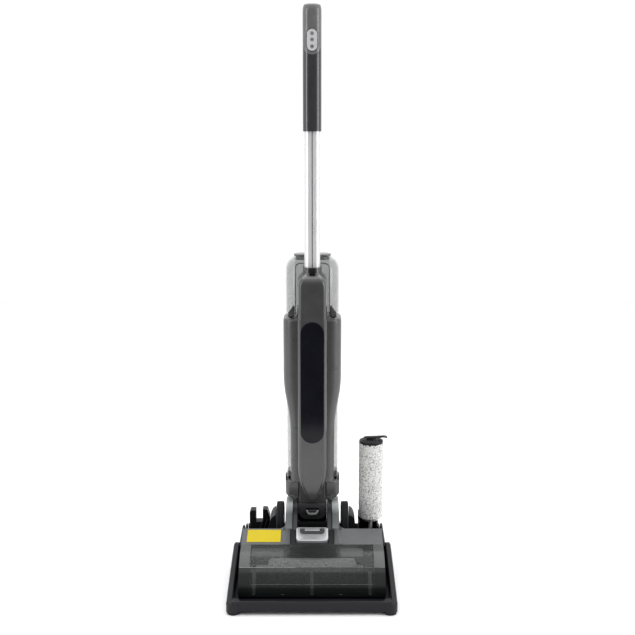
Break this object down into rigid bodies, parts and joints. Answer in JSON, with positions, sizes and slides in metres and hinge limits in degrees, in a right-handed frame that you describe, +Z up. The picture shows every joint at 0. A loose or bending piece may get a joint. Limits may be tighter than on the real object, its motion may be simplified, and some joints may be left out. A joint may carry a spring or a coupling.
{
  "type": "wet dry floor scrubber",
  "caption": "Upright cordless wet and dry floor washer in a charging dock, with a clear brush cover, clear tanks, a slim pole with a button handle, and a spare roller on the dock.",
  "frame": {"origin": "on the floor under the middle of the dock", "axes": "+Z up, -Y to the front of the machine, +X to the right seen from the front"},
  "size_m": [0.31, 0.374, 1.0955],
  "materials": {
    "dock_plastic": "fine moulded texture, satin",
    "black_plastic": "satin black",
    "rubber": "matte black",
    "grey_plastic": "satin metallic grey",
    "panel_plastic": "satin metallic grey",
    "light_plastic": "satin light grey",
    "smoky_clear": "smoky clear plastic",
    "clear_plastic": "clear plastic",
    "black_gloss": "gloss black",
    "silver_plastic": "silver paint",
    "polished_tube": "polished",
    "steel": "brushed",
    "white_pile": "white microfibre pile",
    "pale_plastic": "pale satin",
    "yellow_film": "plain yellow film",
    "green_board": "solder mask",
    "battery_wrap": "shrink film"
  },
  "bodies": {
    "dock": {"dock_tray": "dock_plastic", "dock_foot_front_left": "rubber", "dock_foot_front_right": "rubber", "dock_foot_rear_left": "rubber", "dock_foot_rear_right": "rubber", "tool_holder": "black_plastic", "roller_holder": "black_plastic", "charging_block": "dock_plastic"},
    "spare_roller": {"spare_roller_core": "pale_plastic", "spare_roller_pile": "white_pile", "spare_roller_cap": "black_plastic"},
    "head": {"head_base": "black_plastic", "end_plate_left": "black_plastic", "end_plate_right": "black_plastic", "drive_belt": "rubber", "brush_motor": "steel", "top_panel": "panel_plastic", "button_bezel": "black_plastic", "suction_duct": "black_plastic", "roller_end_cap": "black_plastic", "yoke_arm_left": "panel_plastic", "yoke_arm_right": "panel_plastic", "scraper_blade": "steel", "squeegee": "rubber", "wheel_axle": "steel", "blank_sticker": "yellow_film"},
    "brush_cover": {"brush_cover": "smoky_clear"},
    "cover_release_button": {"cover_release_button": "silver_plastic"},
    "roller": {"roller_core": "pale_plastic", "roller_pile": "white_pile"},
    "motor_pulley": {"motor_pulley": "black_plastic"},
    "wheel_left": {"wheel_left_hub": "black_plastic", "wheel_left_tyre": "rubber"},
    "wheel_right": {"wheel_right_hub": "black_plastic", "wheel_right_tyre": "rubber"},
    "neck": {"neck_block": "black_plastic"},
    "neck_latch": {"neck_latch": "silver_plastic"},
    "mast": {"spine_shell": "grey_plastic", "rear_cradle": "grey_plastic", "swivel_socket": "black_plastic", "base_collar": "grey_plastic", "display_lens": "black_gloss", "battery_pack": "battery_wrap", "main_board": "green_board", "suction_motor": "black_plastic"},
    "tank_latch_left": {"tank_latch_left": "black_plastic"},
    "tank_latch_right": {"tank_latch_right": "black_plastic"},
    "clean_tank": {"clean_tank": "clear_plastic", "clean_tank_lid": "light_plastic"},
    "dirty_tank": {"dirty_tank": "clear_plastic", "dirty_tank_lid": "grey_plastic", "tank_base": "grey_plastic"},
    "pole_button": {"pole_button": "black_plastic"},
    "pole": {"pole": "polished_tube", "handle_shell": "grey_plastic", "handle_cap": "light_plastic", "control_plate": "silver_plastic"},
    "power_button": {"power_button": "light_plastic"},
    "mode_button": {"mode_button": "light_plastic"},
    "self_clean_button": {"self_clean_button": "light_plastic"}
  },
  "joints": [
    {"name": "head_lift", "type": "slide", "parent": "dock", "child": "head", "axis": [0, 0, 1], "range_m": [0, 0.12]},
    {"name": "spare_roller_lift", "type": "slide", "parent": "dock", "child": "spare_roller", "axis": [0, 0, 1], "range_m": [0, 0.2]},
    {"name": "brush_cover_lift", "type": "slide", "parent": "head", "child": "brush_cover", "axis": [0, 0, 1], "range_m": [0, 0.06]},
    {"name": "cover_button_press", "type": "slide", "parent": "head", "child": "cover_release_button", "axis": [0, 0, -1], "range_m": [0, 0.003], "stiffness_N_per_m": 600},
    {"name": "roller_spin", "type": "hinge", "parent": "head", "child": "roller", "pos_m": [0, -0.083, 0.0385], "axis": [1, 0, 0], "continuous": true},
    {"name": "motor_spin", "type": "hinge", "parent": "head", "child": "motor_pulley", "pos_m": [0, -0.022, 0.046], "axis": [1, 0, 0], "continuous": true},
    {"name": "wheel_left_spin", "type": "hinge", "parent": "head", "child": "wheel_left", "pos_m": [-0.066, 0.101, 0.062], "axis": [1, 0, 0], "continuous": true},
    {"name": "wheel_right_spin", "type": "hinge", "parent": "head", "child": "wheel_right", "pos_m": [0.066, 0.101, 0.062], "axis": [1, 0, 0], "continuous": true},
    {"name": "neck_tilt", "type": "hinge", "parent": "head", "child": "neck", "pos_m": [0, 0.101, 0.062], "axis": [-1, 0, 0], "range_deg": [0, 60]},
    {"name": "neck_latch_press", "type": "slide", "parent": "neck", "child": "neck_latch", "axis": [0, 1, 0], "range_m": [0, 0.0015], "stiffness_N_per_m": 300},
    {"name": "mast_swivel", "type": "hinge", "parent": "neck", "child": "mast", "pos_m": [0, 0.098, 0.1168], "axis": [0, 0, 1], "range_deg": [-25, 25]},
    {"name": "tank_latch_left_press", "type": "slide", "parent": "mast", "child": "tank_latch_left", "axis": [1, 0, 0], "range_m": [0, 0.003], "stiffness_N_per_m": 300},
    {"name": "tank_latch_right_press", "type": "slide", "parent": "mast", "child": "tank_latch_right", "axis": [-1, 0, 0], "range_m": [0, 0.003], "stiffness_N_per_m": 300},
    {"name": "clean_tank_lift", "type": "slide", "parent": "mast", "child": "clean_tank", "axis": [0, 0, 1], "range_m": [0, 0.1]},
    {"name": "dirty_tank_slide", "type": "slide", "parent": "mast", "child": "dirty_tank", "axis": [0, 1, 0], "range_m": [0, 0.08]},
    {"name": "pole_button_press", "type": "slide", "parent": "mast", "child": "pole_button", "axis": [0, 1, 0], "range_m": [0, 0.0012], "stiffness_N_per_m": 300},
    {"name": "pole_pull", "type": "slide", "parent": "mast", "child": "pole", "axis": [0, 0, 1], "range_m": [0, 0.035]},
    {"name": "power_button_press", "type": "slide", "parent": "pole", "child": "power_button", "axis": [0, 1, 0], "range_m": [0, 0.0012], "stiffness_N_per_m": 300},
    {"name": "mode_button_press", "type": "slide", "parent": "pole", "child": "mode_button", "axis": [0, 1, 0], "range_m": [0, 0.0012], "stiffness_N_per_m": 300},
    {"name": "self_clean_button_press", "type": "slide", "parent": "pole", "child": "self_clean_button", "axis": [0, 1, 0], "range_m": [0, 0.0012], "stiffness_N_per_m": 300}
  ],
  "couplings": [
    {"joint": "motor_spin", "follows": "roller_spin", "ratio": 1.6667}
  ]
}
